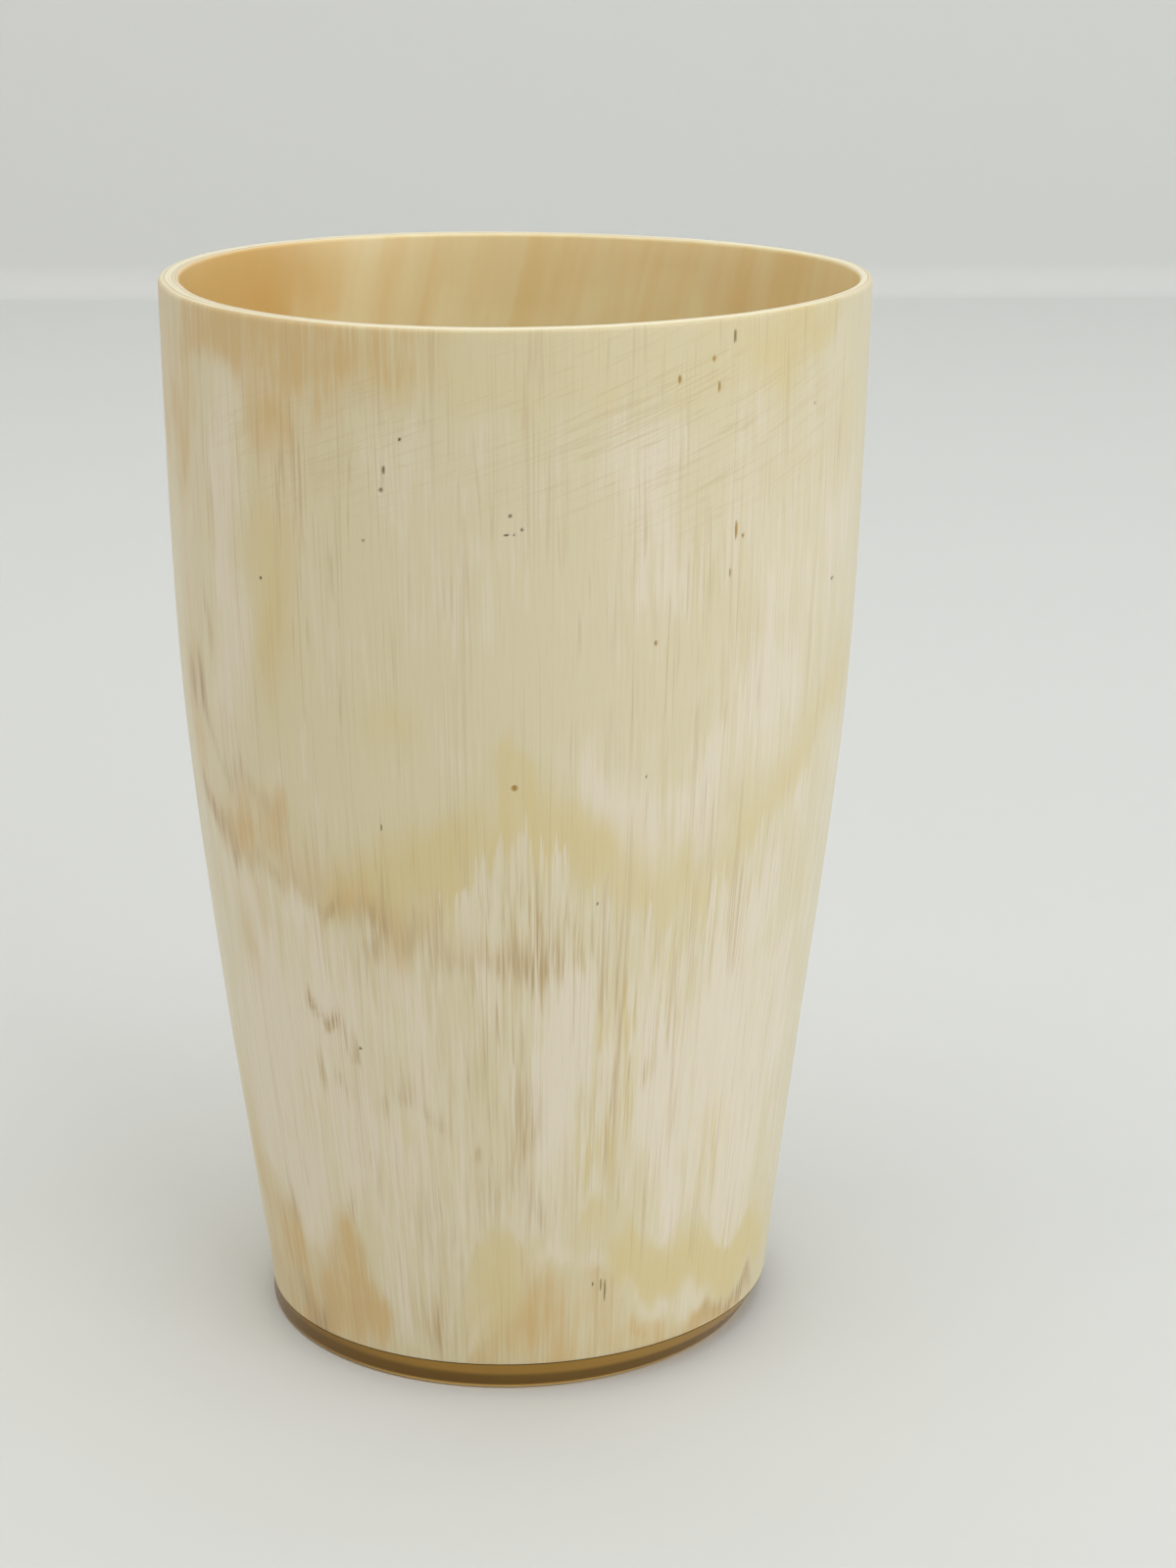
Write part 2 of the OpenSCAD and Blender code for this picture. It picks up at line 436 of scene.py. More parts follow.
PITS = (
    Pit(-41.5, 91.3, 0.20, 0.20),
    Pit(-14.8, 107.1, 0.16, 0.19),
    Pit(-17.4, 104.0, 0.17, 0.47, 0.6),
    Pit(-17.9, 102.0, 0.26, 0.22, 0.6),
    Pit(1.5, 99.8, 0.22, 0.17, 0.7),
    Pit(0.9, 97.9, 0.30, 0.12),
    Pit(2.0, 97.9, 0.13, 0.14),
    Pit(3.2, 98.4, 0.16, 0.14),
    Pit(-21.0, 96.8, 0.14, 0.17, 0.5),
    Pit(-20.0, 66.8, 0.12, 0.34, 0.6),
    Pit(15.5, 58.6, 0.12, 0.19),
    Pit(-27.5, 40.9, 0.22, 0.14),
    Pit(23.2, 72.0, 0.12, 0.20, 0.6),
    Pit(64.5, 88.4, 0.43, 0.15, 0.6),
    Pit(37.2, 116.0, 0.19, 0.77, 0.5),
    Pit(27.5, 112.3, 0.20, 0.51, 0.0),
    Pit(33.5, 114.0, 0.20, 0.36, 0.0),
    Pit(34.5, 111.2, 0.14, 0.68, 0.1),
    Pit(24.2, 86.0, 0.14, 0.36, 0.2),
    Pit(38.3, 96.5, 0.19, 1.10, 0.1),
    Pit(39.7, 95.8, 0.16, 0.27, 0.2),
    Pit(37.4, 92.2, 0.12, 0.51, 0.2),
    Pit(56.0, 107.8, 0.16, 0.19, 0.2),
    Pit(1.8, 71.8, 0.35, 0.37, 0.1),
    Pit(16.9, 13.0, 0.12, 0.29, 0.6),
    Pit(18.7, 12.8, 0.11, 0.85, 0.5),
    Pit(19.6, 12.0, 0.12, 1.44, 0.6),
    Pit(128.0, 84.0, 0.22, 0.22),
    Pit(131.0, 82.5, 0.14, 0.17),
    Pit(-148.0, 104.0, 0.19, 0.51, 0.2),
    Pit(-120.0, 92.0, 0.19, 0.20),
)


def deselect() -> None:
    """Leaves nothing selected."""
    if bpy.context.object and bpy.context.object.mode != "OBJECT":
        bpy.ops.object.mode_set(mode="OBJECT")
    bpy.ops.object.select_all(action="DESELECT")


def pick(piece: bpy.types.Object, kind: str, wanted: Callable[..., bool]) -> None:
    """Selects the wanted faces or edges of the active piece, and leaves it in edit mode.

    Args:
        piece: the active piece.
        kind: FACE or EDGE.
        wanted: tells whether a face or an edge is wanted.
    """
    bpy.ops.object.mode_set(mode="EDIT")
    bpy.ops.mesh.select_mode(type=kind)
    bpy.ops.mesh.select_all(action="DESELECT")
    bpy.ops.object.mode_set(mode="OBJECT")
    for part in piece.data.polygons if kind == "FACE" else piece.data.edges:
        part.select = wanted(part)
    bpy.ops.object.mode_set(mode="EDIT")


def points_of(piece: bpy.types.Object) -> np.ndarray:
    """Reads a piece's vertices.

    Args:
        piece: the piece.

    Returns:
        One row a vertex, in millimetres.
    """
    flat = np.zeros(len(piece.data.vertices) * 3)
    piece.data.vertices.foreach_get("co", flat)
    return flat.reshape(-1, 3) / MM


def place_points(piece: bpy.types.Object, points: np.ndarray) -> None:
    """Moves the piece's vertices to the points, given in millimetres."""
    piece.data.vertices.foreach_set("co", (points * MM).astype(np.float32).ravel())
    piece.data.update()


def paint(piece: bpy.types.Object, name: str, values: np.ndarray) -> None:
    """Keeps one number a vertex on the piece, for its material to read."""
    layer = piece.data.attributes.new(name, "FLOAT", "POINT")
    layer.data.foreach_set("value", values.astype(np.float32))


def angle_of(points: np.ndarray) -> np.ndarray:
    """Each point's angle round the axis, in degrees from the front (-Y), positive towards +X."""
    return np.degrees(np.arctan2(points[:, 0], -points[:, 1]))


def spin_outline(name: str, outline: list[tuple[float, float]], steps: int) -> bpy.types.Object:
    """Turns a closed outline about the Z axis, as on a lathe.

    Args:
        name: the new piece's name.
        outline: the section's corners as (radius, height), in millimetres.
        steps: how many stretches make a full turn.

    Returns:
        The turned piece, with its normals outwards.
    """
    deselect()
    bpy.ops.mesh.primitive_circle_add(vertices=len(outline), radius=MM, fill_type="NOTHING")
    piece = bpy.context.object
    piece.name = piece.data.name = name
    place_points(piece, np.array([(radius, 0.0, height) for radius, height in outline]))
    bpy.ops.object.mode_set(mode="EDIT")
    bpy.ops.mesh.select_all(action="SELECT")
    bpy.ops.mesh.spin(steps=steps, angle=math.tau, center=(0, 0, 0), axis=(0, 0, 1))
    bpy.ops.mesh.select_all(action="SELECT")
    bpy.ops.mesh.remove_doubles(threshold=0.002 * MM)
    bpy.ops.mesh.normals_make_consistent(inside=False)
    bpy.ops.object.mode_set(mode="OBJECT")
    return piece


def arc(centre: tuple[float, float], radius: float, start: float, end: float,
        steps: int) -> list[tuple[float, float]]:
    """Points of an arc in a section.

    Args:
        centre: the arc's centre as (radius, height).
        radius: the arc's own radius.
        start: the first point's angle in degrees, counted from outwards.
        end: the last point's angle.
        steps: how many stretches the arc has.

    Returns:
        The arc's points, both ends included.
    """
    turns = np.radians(np.linspace(start, end, steps + 1))
    return [(centre[0] + radius * math.cos(a), centre[1] + radius * math.sin(a)) for a in turns]


@dataclass(frozen=True)
class BeakerForm:
    """The beaker's turned form, in millimetres, as the CAD model has it."""

    height: float
    rim_radius: float
    flange_height: float
    disc_height: float
    seam_radius: float = 28.85
    lower_flare: float = 0.126
    upper_flare: float = 0.009
    flare_softness: float = 1.07
    rim_wall: float = 1.8
    foot_wall: float = 3.8
    rim_edge: float = 0.5
    spigot_bevel: float = 0.3
    glue: float = 0.15
    rebate_wall: float = 2.6

    @classmethod
    def from_frame(cls) -> "BeakerForm":
        """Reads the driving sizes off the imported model."""
        wall_low, wall_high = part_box("horn_body")
        disc_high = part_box("base_disc")[1]
        glue_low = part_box("glue_seam")[0]
        return cls(
            height=round(wall_high.z / MM, 3),
            rim_radius=round(wall_high.x / MM, 1),
            flange_height=round(glue_low.z / MM, 3),
            disc_height=round(disc_high.z / MM, 3),
        )

    @property
    def wall_foot(self) -> float:
        """Height of the wall's lower end."""
        return self.flange_height + self.glue

    @property
    def shoulder(self) -> float:
        """Height of the shoulder inside the wall, just above the disc."""
        return self.disc_height + self.glue

    @property
    def rebate_radius(self) -> float:
        """Radius of the seat turned in the wall's lower end."""
        return float(self.outer(self.flange_height)) - self.rebate_wall

    @property
    def mean_radius(self) -> float:
        """The wall's radius, halfway between the seam's and the rim's."""
        return (self.seam_radius + self.rim_radius) / 2

    def _blended(self, height: np.ndarray | float) -> np.ndarray:
        """Radius where two straight tapers run into each other.

        Args:
            height: the height, or heights.

        Returns:
            The radius, not yet brought to the rim's.
        """
        lower = self.seam_radius + self.lower_flare * (height - self.flange_height)
        upper = self.rim_radius + self.upper_flare * (height - self.height)
        half_gap = (lower - upper) / 2
        return (lower + upper) / 2 - np.sqrt(half_gap ** 2 + self.flare_softness ** 2)

    def outer(self, height: np.ndarray | float) -> np.ndarray:
        """Outer radius at a height."""
        return self._blended(height) + self.rim_radius - self._blended(self.height)

    def wall(self, height: np.ndarray | float) -> np.ndarray:
        """Wall thickness at a height."""
        share = (height - self.shoulder) / (self.height - self.shoulder)
        return self.foot_wall + (self.rim_wall - self.foot_wall) * share

    def inner(self, height: np.ndarray | float) -> np.ndarray:
        """Inner radius at a height."""
        return self.outer(height) - self.wall(height)


@dataclass(frozen=True)
class HandWork:
    """How heat-formed, hand-finished horn strays from the turned form, in millimetres."""

    # The rim is a little egg-shaped: lobes of two and of three, and where the first of each points
    oval: float = 0.95
    oval_at: float = 51.7
    egg: float = 0.90
    egg_at: float = 102.1
    # Long shallow waves left by scraping along the horn. Each set has a number of waves round the
    # wall and a bend on the way up, in radians
    scrape: float = 0.05
    scrapes: tuple[tuple[int, float], ...] = ((7, 2.0), (11, -3.0), (17, 1.5), (23, -1.0))
    # How far the rim stands to the right of the foot
    lean: float = 0.27
    # The bore is off centre at the rim, so the wall is thick on one side
    bore_shift: float = 0.45
    bore_shift_at: float = 80.0
    # The foot is pushed a little to the right, and its lower edge was trimmed back to the left
    foot_shift: float = 0.48
    edge_shift: float = -0.55
    # The push dies away up the wall: what is left of it at the knee, and where it ends
    knee: float = 12.0
    knee_shift: float = 0.26
    shift_end: float = 35.0
    # The disc's edge slants in towards the floor, down to a small rounding
    undercut: float = 0.95
    foot_round: float = 0.5
    # The seam was sawn a little askew: it climbs to the right and sinks towards the back, where it
    # levels out
    seam_climb: float = 0.018
    seam_sink: float = 0.032
    levels_out: float = 10.0

    def stray(self, angle: np.ndarray, share: np.ndarray) -> np.ndarray:
        """How far the wall stands out from the turned form.

        Args:
            angle: angles in degrees from the front.
            share: height up the wall, from 0 at the base disc to 1 at the rim.

        Returns:
            Millimetres outwards. Nothing at the base disc, which stays round.
        """
        oval = self.oval * np.cos(np.radians(2 * (angle - self.oval_at)))
        egg = self.egg * np.cos(np.radians(3 * (angle - self.egg_at)))
        waves = sum(
            np.cos(np.radians(lobes * angle + 40 * lobes) + bend * share) / lobes
            for lobes, bend in self.scrapes
        )
        fewest = self.scrapes[0][0]
        return share * (oval + egg) + self.scrape * fewest * waves * smooth(0.0, 0.15, share)

    def settle(self, points: np.ndarray, form: BeakerForm) -> np.ndarray:
        """Leans the beaker, pushes its foot aside and sets its seam askew.

        Args:
            points: a piece's vertices.
            form: the beaker's form.

        Returns:
            The vertices in their final places.
        """
        x, y, height = points.T
        foot = np.interp(height, (0, form.flange_height, self.knee, self.shift_end),
                         (self.edge_shift, self.foot_shift, self.knee_shift, 0))
        seam = np.interp(height, (0, form.flange_height, form.wall_foot, form.disc_height), (0, 1, 1, 0))
        back = np.where(y < 0, y, self.levels_out * np.tanh(y / self.levels_out))
        askew = self.seam_climb * x - self.seam_sink * (back + form.seam_radius)
        lean = self.lean * np.clip(height / form.height, 0, 1)
        return np.column_stack([x + foot + lean, y, height + seam * askew])

    def bore_stray(self, angle: np.ndarray, share: np.ndarray) -> np.ndarray:
        """How far the bore's wall stands out, on top of the wall's own stray."""
        return self.bore_shift * share * np.cos(np.radians(angle - self.bore_shift_at))


@dataclass(frozen=True)
class PaleHorn:
    """Cow horn from the pale end of the horn, turned, scraped along the grain and polished.

    Keratin fibres run up the wall. Where they are opaque the horn is milky, where it is clear it is
    honey-coloured, and the two feather into each other in hair-thin streaks. The end grain at the
    rim shows the layers, brightened into a painted highlight. Light that comes through the wall is
    painted on the inside, as warmth and amber.
    """

    cream: str = "#DED4B2"
    milk: str = "#E7DDC8"
    honey: str = "#DCCC98"
    tan: str = "#D5B77F"
    brown: str = "#C2A87C"
    umber: str = "#9C8058"
    stroke: str = "#CDB98C"
    # Painted light through the wall, amber on the inside
    inside_amber_glow: str = "#DCB46C"
    # End grain at the rim: pale layers brightened into a painted highlight, and the lines between them
    rim_layer_and_highlight: str = "#F0E8C8"
    rim_line: str = "#CDB284"
    # The inside's pale horn, made brighter and warmer as painted light that comes through the wall
    inside_pale_and_lit: str = "#F1E6BC"
    inside_warm_glow: str = "#ECD8A2"
    pore: str = "#3A2A18"
    fleck: str = "#B48A22"
    ior: float = 1.54
    roughness: float = 0.36
    # Hairlines between fibre bundles are about 0.1 mm wide; they are drawn at 0.2 mm so that they show
    hairline: float = 0.8
    # Streaks of opaque horn, across, in millimetres: fine, finest, middling and broad
    fibre: float = 0.32
    thread: float = 0.16
    streak: float = 0.9
    bundle: float = 2.6
    # Broad clouds in the horn
    cloud: float = 7.0
    # Inside, the grain winds round the horn as it rises, in radians a metre
    twist: float = 7.0

    def grain(self, node: AddNode, radius: float, size: float, length: float,
              detail: float = 2.0, twist: float = 0.0) -> bpy.types.NodeSocket:
        """Noise that runs up the wall, closed round the back.

        Args:
            node: adds a node to the material.
            radius: the wall's mean radius, in millimetres.
            size: how wide one streak is, in millimetres.
            length: how long one streak is.
            detail: how many finer layers the noise has.
            twist: how far the streaks wind round the axis, in radians a metre.

        Returns:
            The noise, about 0.5 on average.
        """
        here = node(COORDINATES, out=OBJECT_SPACE)
        flat = node(VECTOR, {0: here, 1: (1, 1, 0)}, **TIMES)
        unit = node(VECTOR, {0: flat}, operation="NORMALIZE")
        rise = node(VECTOR, {0: here, 1: (0, 0, size / length / MM)}, **TIMES)
        along = node(VECTOR, {0: unit, 1: (radius,) * 3, 2: rise}, **TIMES_PLUS)
        turn = node(VECTOR, {0: here, 1: (0, 0, twist)}, **WEIGH)
        wound = node("ShaderNodeVectorRotate", {"Vector": along, "Angle": turn}, rotation_type="Z_AXIS")
        return node(NOISE, {"Vector": wound, "Scale": 1 / size, "Detail": detail, "Roughness": 0.6})

    def material(self, form: BeakerForm) -> bpy.types.Material:
        """Makes the horn's material, which reads the numbers that HornFigure paints on the wall.

        Args:
            form: the beaker's form, for the wall's mean radius.

        Returns:
            The material.
        """
        made, node = empty_material("cow_horn_turned_and_polished")
        grain = partial(self.grain, node, form.mean_radius)
        painted = (*(marking.value for marking in Marking), "front", "lower", "pore", "fleck", "layer")
        marks = {
            name: node("ShaderNodeAttribute", out=ATTRIBUTE_VALUE, attribute_name=name)
            for name in painted
        }

        # Streaks of three widths and broad clouds, each from -0.5 to 0.5
        sizes = ((self.fibre, 9.0), (self.streak, 14.0), (self.bundle, 22.0), (self.cloud, 1.6 * self.cloud))
        fibre, streak, bundle, cloud = (
            node(MAP_RANGE, {0: grain(size, length), 1: 0.28, 2: 0.72, 3: -0.5, 4: 0.5}, **SOFT)
            for size, length in sizes
        )
        streaks = node(COMBINE, {0: fibre, 1: streak, 2: bundle})

        # The growth fronts, torn into feathers by the streaks, most where the hairlines stand out
        tear = node(VECTOR, {0: streaks, 1: (4.5, 5.5, 3.0)}, **WEIGH)
        reach = node(MATH, {0: marks["hair"], 1: 1.1, 2: 0.6}, **TIMES_PLUS)
        tear = node(MATH, {0: tear, 1: reach}, **TIMES)
        under_front = node(MATH, {0: tear, 1: marks["front"]}, **PLUS)
        under_lower = node(MATH, {0: tear, 1: 0.45, 2: marks["lower"]}, **TIMES_PLUS)
        foot = node(MAP_RANGE, {0: under_lower, 1: -0.9, 2: 1.1}, **SOFT)
        above_foot = node(MAP_RANGE, {0: under_lower, 1: 1.1, 2: -0.9}, **SOFT)
        belt = node(MAP_RANGE, {0: under_front, 1: -0.6, 2: 1.0}, **SOFT)
        belt = node(MATH, {0: belt, 1: above_foot}, **TIMES)

        # Milk is a soft haze in the clear upper part, and in the belt it is laid in fine strokes
        milk = node(COMBINE, {0: marks["milk"], 1: cloud, 2: 1.0})
        soft = node(VECTOR, {0: milk, 1: (1.0, 0.50, 0.08)}, **WEIGH)
        haze = node(VECTOR, {0: streaks, 1: (0.45, 0.35, 0.25)}, **WEIGH)
        haze = node(MATH, {0: haze, 1: soft}, **PLUS)
        laid = node(VECTOR, {0: milk, 1: (0.75, 0.40, 0.30)}, **WEIGH)
        strokes = node(VECTOR, {0: streaks, 1: (0.50, 0.50, 0.38)}, **WEIGH)
        strokes = node(MATH, {0: strokes, 1: laid}, **PLUS)
        milky = node(MIX, {MIX_FACTOR: belt, 2: haze, 3: strokes}, **NUMBER)
        milky = node(MAP_RANGE, {0: milky, 1: 0.0, 2: 1.0}, **SOFT)

        # Clear, honey-coloured horn; in the belt it shows between the strokes
        clear = node(COMBINE, {0: marks["honey"], 1: foot, 2: cloud})
        clear = node(VECTOR, {0: clear, 1: (1.0, 0.30, 0.20)}, **WEIGH)
        gaps = node(VECTOR, {0: streaks, 1: (-0.9, -0.9, 0.0)}, **WEIGH)
        gaps = node(MATH, {0: gaps, 1: 0.62}, **PLUS)
        seen = node(MIX, {MIX_FACTOR: belt, 2: 1.0, 3: gaps}, **NUMBER)
        honeyed = node(MATH, {0: clear, 1: seen}, **TIMES)
        honeyed = node(MAP_RANGE, {0: honeyed, 1: 0.0, 2: 1.0}, **SOFT)

        # Tan horn, clouded and streaked
        mottle = node(VECTOR, {0: streaks, 1: (0.45, 0.55, 0.30)}, **WEIGH)
        mottle = node(MATH, {0: cloud, 1: 0.8, 2: mottle}, **TIMES_PLUS)
        tanned = node(MATH, {0: marks["tan"], 1: mottle, 2: marks["tan"]}, **TIMES_PLUS)
        tanned = node(MAP_RANGE, {0: tanned, 1: 0.0, 2: 1.05, 4: 0.92}, **SOFT)

        # Brown stain lies along the fibres, darkest in the gaps
        threads = node(VECTOR, {0: streaks, 1: (-0.95, -0.50, -0.30)}, **WEIGH)
        threads = node(MATH, {0: threads, 1: 0.66}, **PLUS)
        stain = node(MATH, {0: marks["stain"], 1: threads}, **TIMES)
        stained = node(MAP_RANGE, {0: stain, 1: 0.0, 2: 0.9, 4: 0.9}, **SOFT)
        deep = node(MAP_RANGE, {0: stain, 1: 0.45, 2: 1.3, 4: 0.55}, **SOFT)

        # Fine dark strokes between the white ones near the torn edge
        dark = node(VECTOR, {0: streaks, 1: (-1.0, -0.8, 0.0)}, **WEIGH)
        dark = node(MAP_RANGE, {0: dark, 1: 0.05, 2: 0.70}, **SOFT)
        near = node(MAP_RANGE, {0: marks["front"], 1: 16.0, 2: 8.0, 3: 0.0, 4: 0.5}, **SOFT)
        near = node(MATH, {0: near, 1: belt, 2: 0.30}, **TIMES_PLUS)
        comb = node(MATH, {0: dark, 1: marks["hair"]}, **TIMES)
        comb = node(MATH, {0: comb, 1: near}, **TIMES)

        # The finest fibres, and dark hairlines that run on for centimetres
        thread = node(MAP_RANGE, {0: grain(self.thread, 5.0), 1: 0.50, 2: 0.78, 4: 0.20}, **SOFT)
        crossing = node(MATH, {0: grain(self.hairline, 60.0, 1.0), 1: 0.5}, operation="SUBTRACT")
        crossing = node(MATH, {0: crossing}, operation="ABSOLUTE")
        line = node(MAP_RANGE, {0: crossing, 1: 0.040, 2: 0.0}, **SOFT)
        broken = node(MAP_RANGE, {0: grain(1.6, 12.0), 1: 0.40, 2: 0.60}, **SOFT)
        line = node(MATH, {0: line, 1: broken}, **TIMES)
        bold = node(MATH, {0: marks["hair"], 1: 0.40, 2: 0.28}, **TIMES_PLUS)
        lined = node(MATH, {0: line, 1: bold}, **TIMES)

        # Scratches that the last polishing left across the grain
        unrolled = node("ShaderNodeUVMap", uv_map="unrolled")
        across = node("ShaderNodeMapping", {0: unrolled, 2: (0, 0, math.radians(22)), 3: (26, 1.1, 1)},
                      vector_type="TEXTURE")
        swept = node(NOISE, {"Vector": across, "Scale": 1.0, "Detail": 2.0, "Roughness": 0.6})
        swept = node(MATH, {0: swept, 1: 0.5}, operation="SUBTRACT")
        swept = node(MATH, {0: swept}, operation="ABSOLUTE")
        scratches = node(MAP_RANGE, {0: swept, 1: 0.030, 2: 0.0}, **SOFT)
        scratches = node(MATH, {0: scratches, 1: marks["scuff"]}, **TIMES)
        scratched = node(MATH, {0: scratches, 1: 0.45}, **TIMES)

        outside = lay_over(node, linear(self.cream), (
            (milky, self.milk), (honeyed, self.honey), (tanned, self.tan), (stained, self.brown),
            (deep, self.umber), (comb, self.stroke), (thread, self.stroke), (lined, self.brown),
            (scratched, self.stroke), (marks["fleck"], self.fleck), (marks["pore"], self.pore),
        ))

        # The end grain at the rim: layer upon layer, pale and brightened into a painted highlight
        here = node(COORDINATES, out=OBJECT_SPACE)
        round_the_rim = node(VECTOR, {0: here, 1: (14, 14, 0)}, **TIMES)
        depth = node(MATH, {0: marks["layer"], 1: 7.0}, **TIMES)
        depth = node(COMBINE, {2: depth})
        sliced = node(VECTOR, {0: round_the_rim, 1: depth}, **PLUS)
        rings = node(NOISE, {"Vector": sliced, "Scale": 1.0, "Detail": 2.0, "Roughness": 0.5})
        rings = node(MAP_RANGE, {0: rings, 1: 0.50, 2: 0.62}, **SOFT)
        end_grain = lay_over(node, linear(self.rim_layer_and_highlight), ((rings, self.rim_line),))

        # The inside, brightened with painted light that comes through the wall: long, soft, warm bands, and
        # amber where the wall is clearest
        drift = node(MAP_RANGE, {0: grain(3.4, 50.0, twist=self.twist), 1: 0.34, 2: 0.70}, **SOFT)
        warm_glow = node(COMBINE, {0: drift, 1: streak, 2: 1.0})
        warm_glow = node(VECTOR, {0: warm_glow, 1: (0.85, 0.10, 0.04)}, **WEIGH)
        amber = node(MAP_RANGE, {0: marks["tan"], 1: 0.05, 2: 0.80}, **SOFT)
        inside = lay_over(node, linear(self.inside_pale_and_lit),
                          ((warm_glow, self.inside_warm_glow), (amber, self.inside_amber_glow)))

        surface = outside
        for low, high, colour in ((0.03, 0.20, end_grain), (0.84, 0.98, inside)):
            reached = node(MAP_RANGE, {0: marks["layer"], 1: low, 2: high}, **SOFT)
            surface = node(MIX, {MIX_FACTOR: reached, MIX_A: surface, MIX_B: colour}, **COLOUR)

        polish = node(COMBINE, {0: fibre, 1: scratches, 2: 1.0})
        polish = node(VECTOR, {0: polish, 1: (0.08, 0.10, self.roughness)}, **WEIGH)
        relief = node(COMBINE, {0: fibre, 1: line, 2: scratches})
        relief = node(VECTOR, {0: relief, 1: (0.5, -0.5, -0.5)}, **WEIGH)
        bump = node(BUMP, {"Strength": 0.25, "Distance": 0.02 * MM, "Height": relief})
        shader = node(SHADER, {
            "Base Color": surface,
            "Roughness": polish,
            "IOR": self.ior,
            "Subsurface Weight": 0.30,
            "Subsurface Radius": (1.0, 0.8, 0.55),
            "Subsurface Scale": 1.2 * MM,
            "Normal": bump,
        })
        node(OUTPUT, {"Surface": shader})
        return made


@dataclass(frozen=True)
class BrownHorn:
    """Horn from nearer the tip: dark, dense and see-through at its thin edge, turned and polished.

    The layers of growth lie flat in the disc, so its edge shows them as bands, and its upper face
    cuts through them in clouds, under the faint rings that the turning left. On the edge band, painted
    shade darkens the lower part and the left side, and a painted highlight runs along the lower edge.
    """

    # The horn's own honey and dark browns. On the edge band, the dark brown of the lower part is also
    # painted shade
    honey_brown: str = "#AA8338"
    dark_brown: str = "#684A10"
    # Painted highlight: a bright golden line along the disc's lower edge
    painted_edge_highlight: str = "#DDB468"
    ior: float = 1.54
    roughness: float = 0.24
    # Layers of growth, clouds on the upper face and the rings between two passes of the tool, in
    # millimetres
    layer: float = 1.1
    cloud: float = 9.0
    ring: float = 0.6

    def material(self, form: BeakerForm) -> bpy.types.Material:
        """Makes the disc's material.

        Args:
            form: the beaker's form, for the height of the visible band.

        Returns:
            The material.
        """
        made, node = empty_material("brown_horn_turned_and_polished")
        here = node(COORDINATES, out=OBJECT_SPACE)
        side = node("ShaderNodeSeparateXYZ", {0: here})
        height = node("ShaderNodeSeparateXYZ", {0: here}, out=2)
        layered = node(VECTOR, {0: here, 1: (60, 60, 1 / self.layer / MM)}, **TIMES)
        bands = node(NOISE, {"Vector": layered, "Scale": 1.0, "Detail": 3.0, "Roughness": 0.5})
        bands = node(MATH, {0: bands, 1: 0.25}, **TIMES)
        band = form.flange_height * MM
        # Painted shade: the lower part of the edge band, which faces the floor, is dark brown and the upper
        # part honey brown
        upper = node(MAP_RANGE, {0: height, 1: 0.50 * band, 2: 0.72 * band, 4: 0.75}, **SOFT)
        # Painted light: the band's honey brown and its edge line fade towards the left (-X), as if lit from
        # the right
        painted_side_light = node(MAP_RANGE, {0: side, 1: -28 * MM, 2: -6 * MM, 3: 0.35}, **SOFT)
        share = node(MATH, {0: upper, 1: painted_side_light, 2: bands}, **TIMES_PLUS)
        clouds = {"Vector": here, "Scale": 1 / (self.cloud * MM), "Detail": 5.0, "Distortion": 1.2}
        clouds = node(NOISE, clouds)
        clouds = node(MAP_RANGE, {0: clouds, 1: 0.36, 2: 0.64}, **SOFT)
        inside = node(MAP_RANGE, {0: height, 1: 1.1 * band, 2: 1.2 * band})
        share = node(MIX, {MIX_FACTOR: inside, 2: share, 3: clouds}, **NUMBER)
        # Painted highlight along the lowest 0.3 to 0.7 mm of the edge, fainter on the left
        edge = node(MAP_RANGE, {0: height, 1: 0.70 * MM, 2: 0.30 * MM}, **SOFT)
        edge = node(MATH, {0: edge, 1: painted_side_light}, **TIMES)
        colour = lay_over(node, linear(self.dark_brown),
                          ((share, self.honey_brown), (edge, self.painted_edge_highlight)))
        grit = node(NOISE, {"Vector": here, "Scale": 1 / (0.3 * MM), "Detail": 2.0})
        rings = node("ShaderNodeTexWave", {"Vector": here, "Scale": math.tau / 20 / (self.ring * MM)},
                     wave_type="RINGS", rings_direction="Z")
        relief = node(MATH, {0: rings, 1: 2.0, 2: grit}, **TIMES_PLUS)
        bump = node(BUMP, {"Strength": 0.1, "Distance": 0.01 * MM, "Height": relief})
        shader = node(SHADER, {
            "Base Color": colour,
            "Roughness": self.roughness,
            "IOR": self.ior,
            "Specular IOR Level": 0.28,
            "Subsurface Weight": 0.25,
            "Subsurface Radius": (1.0, 0.6, 0.25),
            "Subsurface Scale": 2.0 * MM,
            "Normal": bump,
        })
        node(OUTPUT, {"Surface": shader})
        return made


@dataclass(frozen=True)
class CuredGlue:
    """A dark resin glue, set hard in a thin line: half gloss, with a little dust in it."""

    resin: str = "#58421E"
    dust: str = "#6E5230"
    roughness: float = 0.45
    # Grains of dust, in millimetres
    grain: float = 0.6

    def material(self) -> bpy.types.Material:
        """Makes the glue's material."""
        made, node = empty_material("dark_resin_glue")
        here = node(COORDINATES, out=OBJECT_SPACE)
        specks = node(NOISE, {"Vector": here, "Scale": 1 / (self.grain * MM), "Detail": 3.0})
        share = node(MAP_RANGE, {0: specks, 1: 0.5, 2: 0.7})
        colour = lay_over(node, linear(self.resin), ((share, self.dust),))
        shader = node(SHADER, {"Base Color": colour, "Roughness": self.roughness})
        node(OUTPUT, {"Surface": shader})
        return made


